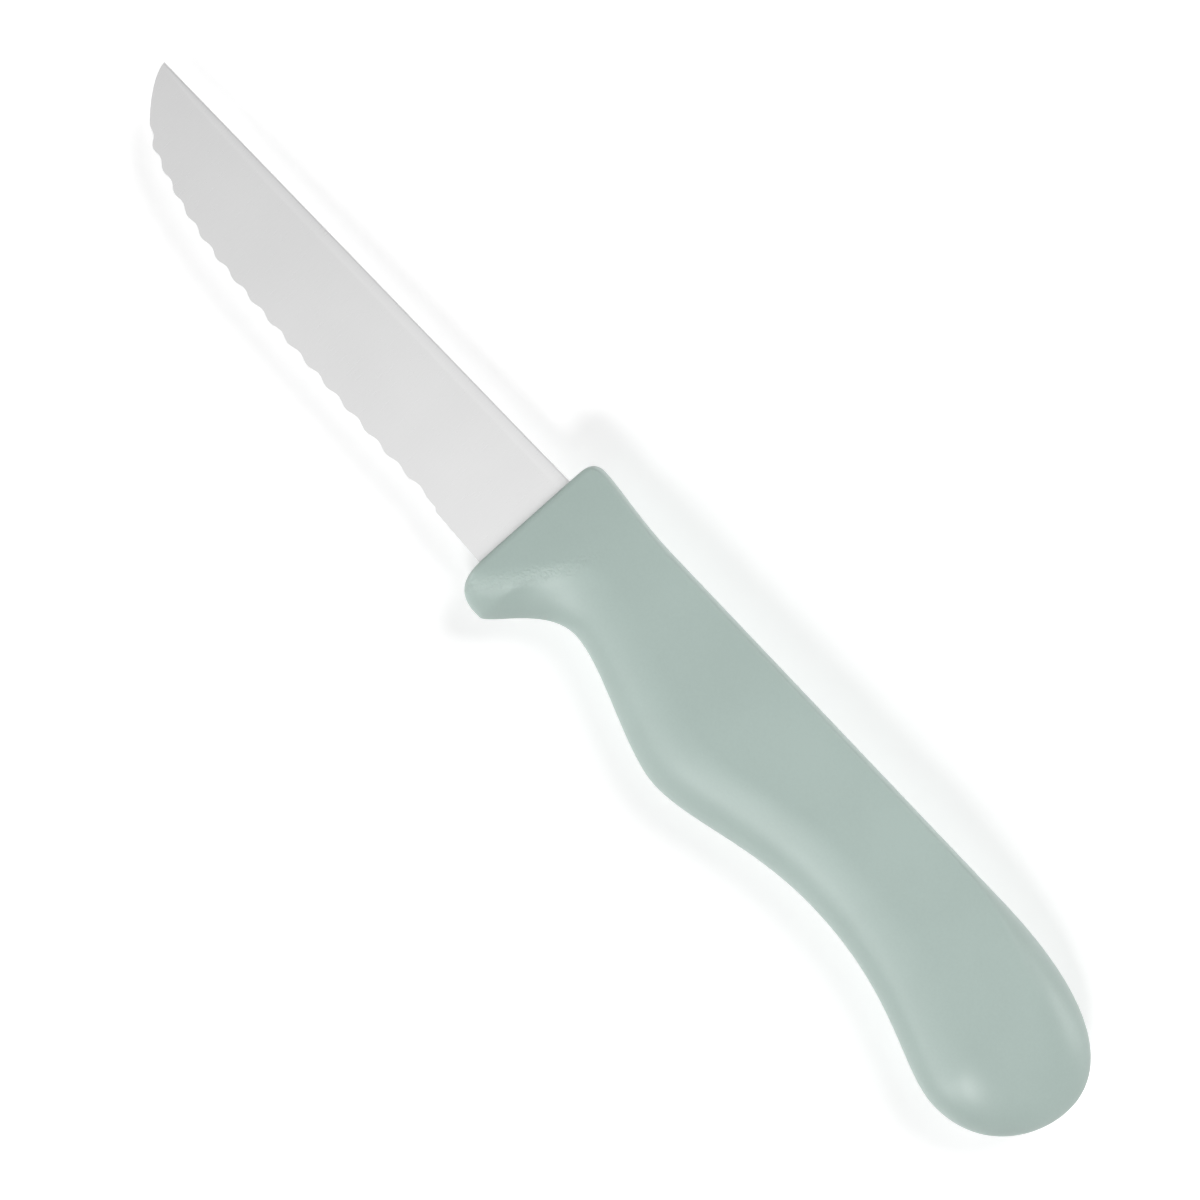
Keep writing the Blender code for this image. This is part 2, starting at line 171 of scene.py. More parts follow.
# Mesh of the blade: stations along it and strips round each section
POINTS_PER_WAVE = 28
TIP_START = 0.004
TIP_POINTS = 60
TIP_CROWDING = 1.4
STRAIGHT_POINTS = 9
STEP_POINTS = 10
RUN_OUT_POINTS = 12
HEEL_POINTS = 12
TANG_POINTS = 9
TANGENT_REACH = 0.2 * MM
CORNER_POINTS = 8
LEFT_FACE_STRIPS = 10
LAND_STRIPS = 2
GRIND_STRIPS = 8
RIGHT_FACE_STRIPS = 8
BLADE_SHARP_ANGLE = 13

# Plastic: colour on the screen, how far its tone strays, and the scale of its patterns in cells per metre
PLASTIC_COLOUR = (173, 190, 184)
PLASTIC_TONES = (0.97, 1.03)
PLASTIC_TONE_SPREAD = (0.35, 0.65)
PLASTIC_CLOUDS = 60.0
PLASTIC_SPECKS = 2600.0
SPECK_SHARE = 0.3
PLASTIC_GRAIN = 5200.0
PLASTIC_GRAIN_ROUGHNESS = 0.6
PLASTIC_ROUGHNESS = (0.34, 0.42)
GRAIN_DEPTH = 0.004 * MM

# The mould's coarser grain, worn away but along the lip's ridge, which slants across the handle's front
LIP_GRAIN = 2200.0
LIP_GRAIN_DEPTH = 0.16 * MM
WORN_GRAIN_DEPTH = 0.0064 * MM
RIDGE_SLOPE = 1.5
RIDGE_START = (19.5 * MM, 22.0 * MM)
RIDGE_END = (24.5 * MM, 27.0 * MM)
LIP_END = (9.5 * MM, 13.0 * MM)

# Steel: colours on the screen, and streaks across the blade, squeezed along X and drawn out along Y
STEEL_COLOURS = ((225, 225, 225), (231, 231, 231))
STEEL_STREAKS = 900.0
STREAK_SQUEEZE = (14, 0.35, 1)
STREAK_ROUGHNESS = 0.65
STEEL_CLOUDS = 90.0
STREAK_SHARE = 0.6
STEEL_ROUGHNESS = (0.27, 0.33)
STREAK_DEPTH = 0.004 * MM
STREAK_STRENGTH = 0.08

# Noise patterns: their middle, and where nearly all of their values lie
NOISE_MIDDLE = 0.5
NOISE_SPREAD = (0.3, 0.7)

# Floor: the glow that makes it white near the knife, and the distances over which it becomes a full white
FLOOR_SIZE = 6.0
FLOOR_GREY = 0.80
FLOOR_GLOW = 0.45
FLOOR_FADE = (0.3, 0.9)

# Room: its light, and the walls and the ceiling that polished surfaces see in it
ROOM_LIGHT = 0.016
CEILING_BACK_SHARE = 0.55
CEILING_TURNS = (-0.50, 0.20)
CEILING_SHADES = (0.3536, 1.4848)
WALL_SHADE = 0.88
WALL_TOP = (0.50, 0.80)

# Soft lights: compass angle from +X towards +Y, height angle, width and irradiance at the knife
LAMP_DISTANCE = 1.2
LAMPS = {
    "tip": (-134.0, 15.0, 0.7, 0.405),
    "butt": (46.0, 15.0, 0.7, 0.27),
    "back": (91.0, 48.0, 0.7, 0.51),
    "finger_side": (-89.0, 30.0, 0.7, 0.18),
    "finger_side_small": (-74.0, 35.0, 0.3, 0.115),
    "choil_small": (-49.0, 50.0, 0.32, 0.30),
}

# Photograph: pixels across its whole frame, the size of one on the knife, and where the frame's middle lies
PHOTO_PIXELS = 1200
PIXEL_SIZE = 0.15173 * MM
PHOTO_MIDDLE = (-0.276 * MM, 1.413 * MM)
PHOTO_TURN = math.radians(45.976)

# Camera: lens and sensor in millimetres, and how many times nearer and farther than the knife it still sees
LENS = 120.0
SENSOR = 36.0
CLIP_RANGE = 100


def ease(share):
    """Rises from 0 to 1 with a level start and end: 3 s^2 - 2 s^3."""
    share = np.clip(share, 0.0, 1.0)
    return share * share * (3 - 2 * share)


def steps(along, knots):
    """Eases from each knot's value to the next one's. A knot is a distance behind the front and a value."""
    value = np.full_like(along, knots[0][1])
    for (start, before), (end, after) in zip(knots, knots[1:]):
        value = value + (after - before) * ease((along - start) / (end - start))
    return value


def bezier_line(knots):
    """Points of a chain of cubic Beziers through knots (place, reach before, reach after).

    Each stretch is (1-t)^3 a + 3 (1-t)^2 t b + 3 (1-t) t^2 c + t^3 d, where b and c lie one reach off the
    knots a and d.
    """
    t = np.linspace(0, 1, POINTS_PER_CURVE)[:, None]
    stretches = []
    for (start, _, leave), (end, arrive, _) in zip(knots, knots[1:]):
        a, d = np.array(start), np.array(end)
        b, c = a + leave, d - arrive
        stretches.append((1 - t) ** 3 * a + 3 * (1 - t) ** 2 * t * b + 3 * (1 - t) * t**2 * c + t**3 * d)
    return np.concatenate(stretches)


def back_line():
    """The handle's back, from the front face over the hump and along to the butt."""
    slope = (BACK_END[1] - BACK_START[1]) / (BACK_END[0] - BACK_START[0])
    third = np.array([1, slope]) * (BACK_END[0] - BACK_START[0]) / 3
    return bezier_line(
        [
            ((0, FRONT_TOP), None, (0, FRONT_TOP_REACH)),
            (HUMP, (HUMP_REACHES[0], 0), (HUMP_REACHES[1], 0)),
            (BACK_START, (BACK_START_REACH, BACK_START_REACH * slope), third),
            (BACK_END, third, (BACK_END_REACH, BACK_END_REACH * slope)),
            ((HANDLE_LENGTH, -BUTT_DEPTH), (0, -BUTT_REACHES[1]), None),
        ]
    )


def finger_line():
    """The handle's finger side: front face, guard lip, choil, belly, waist, bulb and butt."""
    return bezier_line(
        [
            ((0, -FRONT_BOTTOM), None, (0, -GUARD_SIDE_REACH)),
            (GUARD, (GUARD_REACHES[0], 0), (GUARD_REACHES[1], 0)),
            (CHOIL, (CHOIL_REACHES[0], 0), (CHOIL_REACHES[1], 0)),
            (BELLY, (BELLY_REACHES[0], 0), (BELLY_REACHES[1], 0)),
            (WAIST, (WAIST_REACHES[0], 0), (WAIST_REACHES[1], 0)),
            (BULB, (BULB_REACHES[0], 0), (BULB_REACHES[1], 0)),
            ((HANDLE_LENGTH, -BUTT_DEPTH), (0, BUTT_REACHES[0]), None),
        ]
    )


def finger_round():
    """How wide the finger side's round is along the handle: narrow at the front, and widest at the lip."""
    return bezier_line(
        [
            ((0, FRONT_ROUND), None, FRONT_ROUND_REACH),
            (LIP_ROUND, (LIP_ROUND_REACH, 0), (LIP_ROUND_REACH, 0)),
            (CHOIL_ROUND, (CHOIL_ROUND_REACHES[0], 0), (CHOIL_ROUND_REACHES[1], 0)),
            (BELLY_ROUND, (BELLY_ROUND_REACHES[0], 0), (BELLY_ROUND_REACHES[1], 0)),
            (BULB_ROUND, (BULB_ROUND_REACHES[0], 0), (BULB_ROUND_REACHES[1], 0)),
            ((HANDLE_LENGTH, BULB_ROUND[1]), (BULB_ROUND_REACHES[1], 0), None),
        ]
    )


def half_thickness(along):
    """Half the handle's thickness: a fillet at the front, a flare that levels out, and a dome at the butt."""
    start = FRONT_THICKNESS / 2
    flare = np.clip(along / FRONT_FLARE, 0, 1)
    half = start + (HANDLE_THICKNESS / 2 - start) * (1 - (1 - flare) ** 2)
    before = np.clip(1 - along / FRONT_FILLET, 0, 1)
    half = half - FRONT_FILLET * (1 - np.sqrt(1 - before**2))
    dome = np.clip((along - HANDLE_LENGTH + BUTT_DOME) / BUTT_DOME, 0, 1)
    return half * (1 - dome**BUTT_FULLNESS) ** (1 / BUTT_FULLNESS)


def front_lean(along):
    """How far the handle's front leans, per depth under the spine. It fades out behind the front."""
    return FRONT_LEAN * np.clip(1 - along / FRONT_LEAN_FADE, 0, 1) ** 2


def round_turns(count):
    """Turns from 0 to a quarter, with three close together at the start, where the parting line runs."""
    rest = count - len(PARTING_LINE_TURNS) + 1
    return np.concatenate([PARTING_LINE_TURNS, np.linspace(FIRST_ROUND_TURN, math.pi / 2, rest)])


def handle_sections(along):
    """Closed sections across the handle, shape (sections, points, 3), worked out for all stations at once.

    Each half section is a superellipse quarter on the finger side, a flat side and a smaller superellipse
    quarter at the back: y = edge +- round (1 - cos^p turn) and z = half sin^q turn, mirrored in the middle
    plane. The powers are 2 / fullness. On the finger side both change along the handle, so that the round
    leaves the flat side at a soft fold, which is crispest at the lip. A raised hairline runs round the middle
    plane, where the two halves of the mould met. The front leans forward as it goes down.
    """
    top = np.interp(along, *back_line().T)[:, None]
    bottom = np.interp(along, *finger_line().T)[:, None]
    half = half_thickness(along)[:, None]
    finger = np.interp(along, *finger_round().T)
    widening = ease((along - HANDLE_LENGTH + BACK_WIDENING_START) / BACK_WIDENING_RUN)
    back = BACK_ROUND + (finger - BACK_ROUND) * widening
    finger, back = finger[:, None], back[:, None]
    room = LARGEST_ROUND_SHARE * (top - bottom) / (finger + back)
    squeeze = (1 + room**-SQUEEZE_FULLNESS) ** (-1 / SQUEEZE_FULLNESS)
    finger, back = finger * squeeze, back * squeeze
    back_power = 2 / BACK_FULLNESS
    fold_power = 2 / steps(along, FOLD_FULLNESS)[:, None]
    fall_power = 2 / steps(along, FALL_FULLNESS)[:, None]
    finger_turn = round_turns(FINGER_POINTS)
    back_turn = round_turns(BACK_POINTS)[::-1]
    side = np.linspace(0, 1, SIDE_POINTS + 2)[1:-1]
    finger_y = bottom + finger * (1 - np.cos(finger_turn) ** fold_power)
    side_y = bottom + finger + (top - back - bottom - finger) * side
    back_y = top - back * (1 - np.cos(back_turn) ** back_power)
    finger_z = half * np.sin(finger_turn) ** fall_power
    side_z = half * np.ones_like(side)
    back_z = half * np.sin(back_turn) ** back_power
    y = np.concatenate([finger_y, side_y, back_y], axis=1)
    z = np.concatenate([finger_z, side_z, back_z], axis=1)
    y = np.concatenate([y, y[:, -2:0:-1]], axis=1)
    z = np.concatenate([z, -z[:, -2:0:-1]], axis=1)
    line = np.clip(1 - np.abs(z) / PARTING_LINE_WIDTH, 0, 1) * np.clip(half / FRONT_FILLET - 1, 0, 1)
    y = y + PARTING_LINE_HEIGHT * line * np.sign(y - (top + bottom) / 2)
    x = along[:, None] + front_lean(along)[:, None] * y
    return np.stack([x, y, z], axis=2)


def tang_sides(along):
    """Upper and lower side of the metal at a distance behind the front: shoulders, tang and round end."""
    narrowing = ease((along - SHOULDER_DEPTH) / SHOULDER_SLOPE)
    left = np.clip((along - TANG_LENGTH + TANG_END_ROUND) / TANG_END_ROUND, 0.0, 1.0)
    rounding = TANG_END_ROUND * (1 - np.sqrt(1 - left**2))
    upper = -TANG_DROP * narrowing - rounding
    lower = -BLADE_WIDTH + (BLADE_WIDTH - TANG_DROP - TANG_WIDTH) * narrowing + rounding
    return upper, lower


def tang_stations():
    """Distances behind the front at which the hidden metal changes width."""
    slope = np.linspace(SHOULDER_DEPTH, SHOULDER_DEPTH + SHOULDER_SLOPE, TANG_POINTS)
    turn = np.linspace(0, math.pi / 2, TANG_POINTS)
    return np.concatenate([slope, TANG_LENGTH - TANG_END_ROUND * (1 - np.sin(turn))])


def grid_mesh(name, rows, ends):
    """Quads between neighbouring rows of as many points each, closed by a fan to a point at each end."""
    sections, around = rows.shape[:2]
    points = rows.reshape(-1, 3)
    index = np.arange(sections * around).reshape(sections, around)
    beside = np.roll(index, -1, axis=1)
    quads = np.stack([index[:-1], beside[:-1], beside[1:], index[1:]], axis=2).reshape(-1, 4)
    first, last = len(points), len(points) + 1
    start_cap = np.stack([beside[0], index[0], np.full(around, first)], axis=1)
    end_cap = np.stack([index[-1], beside[-1], np.full(around, last)], axis=1)
    points = np.concatenate([points, ends]) + KNIFE_ORIGIN
    loops = np.concatenate([quads.ravel(), start_cap.ravel(), end_cap.ravel()])
    starts = np.concatenate([np.arange(len(quads)) * 4, len(quads) * 4 + np.arange(2 * around) * 3])
    mesh = bpy.data.meshes.new(name)
    mesh.vertices.add(len(points))
    mesh.vertices.foreach_set("co", points.astype(np.float32).ravel())
    mesh.loops.add(len(loops))
    mesh.loops.foreach_set("vertex_index", loops.astype(np.int32))
    mesh.polygons.add(len(starts))
    mesh.polygons.foreach_set("loop_start", starts.astype(np.int32))
    mesh.update(calc_edges=True)
    mesh.validate()
    return mesh


def add_piece(name, mesh, material, sharp_angle):
    """Puts a mesh in the scene, smooth but for edges that turn by more than sharp_angle degrees."""
    piece = bpy.data.objects.new(name, mesh)
    bpy.context.scene.collection.objects.link(piece)
    mesh.materials.append(material)
    mesh.shade_smooth()
    mesh.set_sharp_from_angle(angle=math.radians(sharp_angle))
    return piece


def handle_stations():
    """Distances behind the front of the handle's sections, from the butt's dome to the front's fillet."""
    share = np.linspace(0, 1, HANDLE_SECTIONS)
    crowded = 0.5 - 0.5 * np.cos(math.pi * share)
    stations = HANDLE_LENGTH * ((1 - END_CROWDING) * share + END_CROWDING * crowded)
    butt = HANDLE_LENGTH - BUTT_DOME * np.array(DOME_SECTIONS)
    fillet = FRONT_FILLET * (1 - np.cos(np.linspace(0, math.pi / 2, FILLET_SECTIONS)))
    body = stations[(stations > FRONT_FILLET * FILLET_CLEARANCE) & (stations < butt[0])]
    return np.concatenate([fillet, body, butt])[::-1]


def handle_mesh():
    """The handle's whole skin as one run of sections: butt, body, front fillet, front face, slot, slot's end.

    The slot's rings are boxes, half width times cos turn / largest and half height times sin turn / largest,
    where largest is the greater of |cos turn| and |sin turn|, so that each has as many points as a section.
    """
    outer = handle_sections(handle_stations())
    front = outer[-1]
    across = front[:, 1] + BLADE_WIDTH / 2
    turn = np.arctan2(front[:, 2] / FRONT_THICKNESS, across / (FRONT_TOP + FRONT_BOTTOM))
    largest = np.maximum(np.abs(np.cos(turn)), np.abs(np.sin(turn)))
    box_y, box_z = np.cos(turn) / largest, np.sin(turn) / largest
    slot_half = BLADE_THICKNESS / 2 + SLOT_GAP

    def slot_ring(place, upper, lower, half):
        y = (upper + lower) / 2 + (upper - lower) / 2 * box_y
        return np.stack([place + front_lean(place) * y, y, half * box_z], axis=1)

    mouth_gap = SLOT_GAP + SLOT_MOUTH_ROUND
    mouth = slot_ring(0.0, mouth_gap, -BLADE_WIDTH - mouth_gap, slot_half + SLOT_MOUTH_ROUND)
    face = [front + (mouth - front) * share for share in np.linspace(0, 1, FRONT_FACE_RINGS)[1:]]
    rings = []
    for place in (SLOT_MOUTH_ROUND, *tang_stations()):
        upper, lower = tang_sides(place)
        beyond = SLOT_GAP * place / TANG_LENGTH
        rings.append(slot_ring(place + beyond, upper + SLOT_GAP, lower - SLOT_GAP, slot_half))
    rows = np.concatenate([outer, np.array(face), np.array(rings)])
    ends = np.array([[HANDLE_LENGTH, -BUTT_DEPTH, 0.0], rows[-1].mean(axis=0)])
    return grid_mesh("handle_skin", rows, ends)


def edge_points():
    """The blade's wavy lower side from tip to heel: run along the edge, points, inward normals, grind's end.

    The edge is two Bezier stretches. A row of waves, 1 - cos of an evenly growing phase, pushes it inward,
    and so does a small step where the grinding wheel left the edge.
    """
    slope = np.array([math.cos(TURN_SLOPE), -math.sin(TURN_SLOPE)])
    fine = bezier_line(
        [
            ((-BLADE_LENGTH, 0.0), None, (0, -TIP_CURVE_DOWN)),
            ((TURN_AT - BLADE_LENGTH, -TURN_DEPTH), TURN_TIP_REACH * slope, TURN_HEEL_REACH * slope),
            ((0.0, -BLADE_WIDTH), (EDGE_CURVE_ALONG, -EDGE_CURVE_UP), None),
        ]
    )
    run = np.concatenate([[0], np.cumsum(np.hypot(*np.diff(fine, axis=0).T))])
    last_wave = run[-1] - WAVELESS_HEEL
    ground_end = run[-1] - PLAIN_HEEL
    step_end = ground_end + HEEL_STEP_FALL
    faded = ground_end + GRIND_RUN_OUT
    share = np.linspace(0, 1, WAVES * POINTS_PER_WAVE + 1)
    tip = PLAIN_TIP * np.linspace(TIP_START, 1, TIP_POINTS, endpoint=False) ** TIP_CROWDING
    waves = PLAIN_TIP + (last_wave - PLAIN_TIP) * share * (1 - WAVE_SPREAD + WAVE_SPREAD * share)
    straight = np.linspace(last_wave, ground_end, STRAIGHT_POINTS)[1:-1]
    step = np.linspace(ground_end, step_end, STEP_POINTS)
    run_out = np.linspace(step_end, faded, RUN_OUT_POINTS)[1:]
    heel = np.linspace(faded, run[-1], HEEL_POINTS)[1:]
    stations = np.concatenate([tip, waves, straight, step, run_out, heel])
    depth = np.zeros(len(stations))
    depth[len(tip) : len(tip) + len(share)] = WAVE_DEPTH * (0.5 - 0.5 * np.cos(2 * math.pi * WAVES * share))
    worn = HEEL_STEP * ease((stations - ground_end + HEEL_STEP_RISE) / HEEL_STEP_RISE)
    depth = depth + worn * (1 - ease((stations - ground_end) / HEEL_STEP_FALL))

    def at(place):
        return np.column_stack([np.interp(place, run, fine[:, axis]) for axis in (0, 1)])

    tangent = at(stations + TANGENT_REACH) - at(stations - TANGENT_REACH)
    tangent = tangent / np.linalg.norm(tangent, axis=1)[:, None]
    inward = np.column_stack([-tangent[:, 1], tangent[:, 0]])
    return stations, at(stations) + inward * depth[:, None], inward, ground_end


def metal_sections(upper, lower, inward, grind, land, corner):
    """Sections of the metal for all stations at once, each a closed run of points.

    It goes down from the spine's left corner, a quarter circle, over the flat left face to the edge's land,
    and back up over the grind, a straight slant on the right, and the flat right face to the right corner.
    """
    half = BLADE_THICKNESS / 2
    count = len(upper)

    def points(shift, z, place=upper):
        return np.stack([place[:, 0], place[:, 1] + shift, np.broadcast_to(z, count)], axis=1)

    def between(start, end, strips):
        share = np.linspace(0, 1, strips + 1)[:-1, None, None]
        return list(start + (end - start) * share)

    def corner_point(turn, side):
        return points(-corner * (1 - math.cos(turn)), side * (half - corner * (1 - math.sin(turn))))

    turns = np.linspace(0, math.pi / 2, CORNER_POINTS)
    left_corner = [corner_point(turn, 1) for turn in turns]
    right_corner = [corner_point(turn, -1) for turn in turns[::-1]]
    left_edge = points(0.0, half, lower)
    land_end = points(0.0, half - land, lower)
    grind_end = np.column_stack([lower + inward * grind[:, None], np.full(count, -half)])
    columns = left_corner[:-1]
    columns += between(left_corner[-1], left_edge, LEFT_FACE_STRIPS)
    columns += between(left_edge, land_end, LAND_STRIPS)
    columns += between(land_end, grind_end, GRIND_STRIPS)
    columns += between(grind_end, right_corner[0], RIGHT_FACE_STRIPS)
    columns += right_corner
    return np.stack(columns, axis=1)


def blade_mesh():
    """Sections from the tip along the edge to the heel, and on along the tang."""
    run, edge, inward, ground_end = edge_points()
    ground = 1 - ease((run - ground_end) / GRIND_RUN_OUT)
    width = -edge[:, 1]
    corner = np.minimum(SPINE_ROUND, width * SPINE_ROUND_SHARE_AT_TIP)
    grind = DEBURR + (GRIND_WIDTH - DEBURR) * ground
    grind = np.minimum(grind, (width - 2 * corner) * GRIND_SHARE_AT_TIP)
    full_land = BLADE_THICKNESS - DEBURR
    land = full_land + (EDGE_LAND - full_land) * ground
    spine = np.column_stack([edge[:, 0], np.zeros(len(edge))])
    blade = metal_sections(spine, edge, inward, grind, land, corner)
    along = tang_stations()
    upper, lower = tang_sides(along)
    even = np.ones(len(along))
    tang = metal_sections(
        np.column_stack([along, upper]),
        np.column_stack([along, lower]),
        np.tile([0.0, 1.0], (len(along), 1)),
        DEBURR * even,
        full_land * even,
        SPINE_ROUND * even,
    )
    rows = np.concatenate([blade, tang])
    ends = np.stack([rows[0].mean(axis=0), rows[-1].mean(axis=0)])
    return grid_mesh("blade_skin", rows, ends)


def linear(screen, factor=1.0):
    """A colour of the screen, 0 to 255, as linear light times a factor, by the screen's standard curve."""
    values = [channel / 255 for channel in screen]
    light = [v / 12.92 if v <= 0.04045 else ((v + 0.055) / 1.055) ** 2.4 for v in values]
    return (*(factor * channel for channel in light), 1.0)


class Nodes:
    """Adds nodes to a material's or a world's tree and joins them."""

    def __init__(self, tree):
        self.tree = tree

    def add(self, kind, **values):
        node = self.tree.nodes.new(kind)
        for name, value in values.items():
            setattr(node, name, value)
        return node

    def join(self, source, target):
        self.tree.links.new(source, target)

    def give(self, value, target):
        """Sets a socket to a number or joins it to another socket."""
        if isinstance(value, (int, float)):
            target.default_value = value
        else:
            self.join(value, target)

    def math(self, operation, first, second):
        node = self.add("ShaderNodeMath", operation=operation)
        self.give(first, node.inputs[0])
        self.give(second, node.inputs[1])
        return node.outputs[0]

    def split(self, vector):
        node = self.add("ShaderNodeSeparateXYZ")
        self.join(vector, node.inputs["Vector"])
        return node.outputs

    def noise(self, place, scale, detail, roughness=0.5, squeeze=(1, 1, 1)):
        """A noise pattern with about scale cells per metre, times squeeze along each axis."""
        mapping = self.add("ShaderNodeMapping")
        mapping.inputs["Scale"].default_value = squeeze
        self.join(place, mapping.inputs["Vector"])
        noise = self.add("ShaderNodeTexNoise")
        noise.inputs["Scale"].default_value = scale
        noise.inputs["Detail"].default_value = detail
        noise.inputs["Roughness"].default_value = roughness
        self.join(mapping.outputs["Vector"], noise.inputs["Vector"])
        return noise.outputs["Fac"]

    def span(self, value, old, new, interpolation="SMOOTHSTEP"):
        """Turns the range old, a pair, into the range new, and holds its ends beyond it."""
        node = self.add("ShaderNodeMapRange", interpolation_type=interpolation)
        self.join(value, node.inputs["Value"])
        for name, number in zip(("From Min", "From Max", "To Min", "To Max"), (*old, *new)):
            node.inputs[name].default_value = number
        return node.outputs["Result"]

    def ramp(self, value, old, new):
        return self.span(value, old, new, "LINEAR")

    def blend(self, first, second, share):
        """First and second pattern, mixed by the second one's share."""
        return self.math("ADD", self.math("MULTIPLY", first, 1 - share), self.math("MULTIPLY", second, share))

    def mix_colour(self, factor, first, second):
        node = self.add("ShaderNodeMix", data_type="RGBA")
        self.join(factor, node.inputs["Factor"])
        node.inputs["A"].default_value = first
        node.inputs["B"].default_value = second
        return node.outputs["Result"]

    def bump(self, shader, height, distance, strength):
        node = self.add("ShaderNodeBump")
        node.inputs["Strength"].default_value = strength
        node.inputs["Distance"].default_value = distance
        self.join(height, node.inputs["Height"])
        self.join(node.outputs["Normal"], shader.inputs["Normal"])

    def background(self, strength):
        node = self.add("ShaderNodeBackground")
        node.inputs["Color"].default_value = (1.0, 1.0, 1.0, 1.0)
        self.give(strength, node.inputs["Strength"])
        return node.outputs["Background"]

    def mix_shader(self, factor, first, second):
        node = self.add("ShaderNodeMixShader")
        self.join(factor, node.inputs["Fac"])
        self.join(first, node.inputs[1])
        self.join(second, node.inputs[2])
        return node.outputs["Shader"]


def new_material(name):
    """A material, the helper for its nodes, its shader, and the place on the piece that patterns follow."""
    material = bpy.data.materials.new(name)
    material.use_nodes = True
    nodes = Nodes(material.node_tree)
    shader = material.node_tree.nodes["Principled BSDF"]
    place = nodes.add("ShaderNodeTexCoord").outputs["Object"]
    return material, nodes, shader, place


def lip_grain_depth(nodes, place):
    """How deep the mould's coarser grain is, in metres: full on the lip's ridge and worn elsewhere.

    The ridge is where RIDGE_SLOPE x - y lies between its start and its end, with x and y as on the handle.
    """
    spot = nodes.split(place)
    x = nodes.math("SUBTRACT", spot["X"], KNIFE_ORIGIN[0])
    y = nodes.math("SUBTRACT", spot["Y"], KNIFE_ORIGIN[1])
    below = nodes.math("SUBTRACT", nodes.math("MULTIPLY", x, RIDGE_SLOPE), y)
    rising = nodes.span(below, RIDGE_START, (0.0, 1.0))
    falling = nodes.span(below, RIDGE_END, (1.0, 0.0))
    ridge = nodes.math("MULTIPLY", rising, falling)
    lip = nodes.math("MULTIPLY", ridge, nodes.span(x, LIP_END, (1.0, 0.0)))
    return nodes.math("ADD", nodes.math("MULTIPLY", lip, LIP_GRAIN_DEPTH), WORN_GRAIN_DEPTH)


def sage_polypropylene():
    """Grey-green plastic with the grain of a spark-eroded mould, faintly cloudy and a little polished."""
    material, nodes, shader, place = new_material("sage_polypropylene")
    clouds = nodes.noise(place, PLASTIC_CLOUDS, detail=3.0)
    specks = nodes.noise(place, PLASTIC_SPECKS, detail=1.0)
    tone = nodes.ramp(nodes.blend(clouds, specks, SPECK_SHARE), PLASTIC_TONE_SPREAD, (0.0, 1.0))
    deep, pale = (linear(PLASTIC_COLOUR, factor) for factor in PLASTIC_TONES)
    nodes.join(nodes.mix_colour(tone, deep, pale), shader.inputs["Base Color"])
    grain = nodes.noise(place, PLASTIC_GRAIN, detail=2.0, roughness=PLASTIC_GRAIN_ROUGHNESS)
    nodes.join(nodes.ramp(grain, NOISE_SPREAD, PLASTIC_ROUGHNESS), shader.inputs["Roughness"])
    pits = nodes.math("SUBTRACT", nodes.noise(place, LIP_GRAIN, detail=1.0), NOISE_MIDDLE)
    coarse = nodes.math("MULTIPLY", pits, lip_grain_depth(nodes, place))
    height = nodes.math("ADD", nodes.math("MULTIPLY", grain, GRAIN_DEPTH), coarse)
    # The height is in metres already, so it isn't scaled again
    nodes.bump(shader, height, distance=1.0, strength=1.0)
    return material


def satin_steel():
    """Stainless steel ground across the blade: fine streaks in its tone, its roughness and its surface."""
    material, nodes, shader, place = new_material("satin_steel")
    shader.inputs["Metallic"].default_value = 1.0
    clouds = nodes.noise(place, STEEL_CLOUDS, detail=2.0)
    streaks = nodes.noise(place, STEEL_STREAKS, 3.0, STREAK_ROUGHNESS, STREAK_SQUEEZE)
    tone = nodes.ramp(nodes.blend(clouds, streaks, STREAK_SHARE), NOISE_SPREAD, (0.0, 1.0))
    deep, pale = (linear(colour) for colour in STEEL_COLOURS)
    nodes.join(nodes.mix_colour(tone, deep, pale), shader.inputs["Base Color"])
    nodes.join(nodes.ramp(streaks, NOISE_SPREAD, STEEL_ROUGHNESS), shader.inputs["Roughness"])
    nodes.bump(shader, streaks, STREAK_DEPTH, STREAK_STRENGTH)
    return material


def floor_material():
    """Pale matt floor, which the camera and polished surfaces see as white, with the knife's shadow on it.

    What whitens it is a glow that rises away from the knife, because the lamps' light falls off there.
    """
    material, nodes, shader, place = new_material("pale_floor")
    shader.inputs["Base Color"].default_value = (FLOOR_GREY, FLOOR_GREY, FLOOR_GREY, 1.0)
    shader.inputs["Roughness"].default_value = 1.0
    shader.inputs["Specular IOR Level"].default_value = 0.0
    path = nodes.add("ShaderNodeLightPath").outputs
    seen = nodes.math("MAXIMUM", path["Is Camera Ray"], path["Is Glossy Ray"])
    seen = nodes.math("MAXIMUM", seen, path["Is Transmission Ray"])
    away = nodes.add("ShaderNodeVectorMath", operation="LENGTH")
    nodes.join(place, away.inputs[0])
    whitening = nodes.ramp(away.outputs["Value"], FLOOR_FADE, (FLOOR_GLOW, 1.0))
    glow = nodes.add("ShaderNodeEmission")
    nodes.join(nodes.math("MULTIPLY", seen, whitening), glow.inputs["Strength"])
    both = nodes.add("ShaderNodeAddShader")
    nodes.join(shader.outputs["BSDF"], both.inputs[0])
    nodes.join(glow.outputs["Emission"], both.inputs[1])
    nodes.join(both.outputs["Shader"], material.node_tree.nodes["Material Output"].inputs["Surface"])
    return material


def add_floor():
    """A square floor with the knife in its middle."""
    half = FLOOR_SIZE / 2
    corners = [(-half, -half, 0), (half, -half, 0), (half, half, 0), (-half, half, 0)]
    mesh = bpy.data.meshes.new("floor")
    mesh.from_pydata(corners, [], [(0, 1, 2, 3)])
    mesh.materials.append(floor_material())
    floor = bpy.data.objects.new("floor", mesh)
    bpy.context.scene.collection.objects.link(floor)


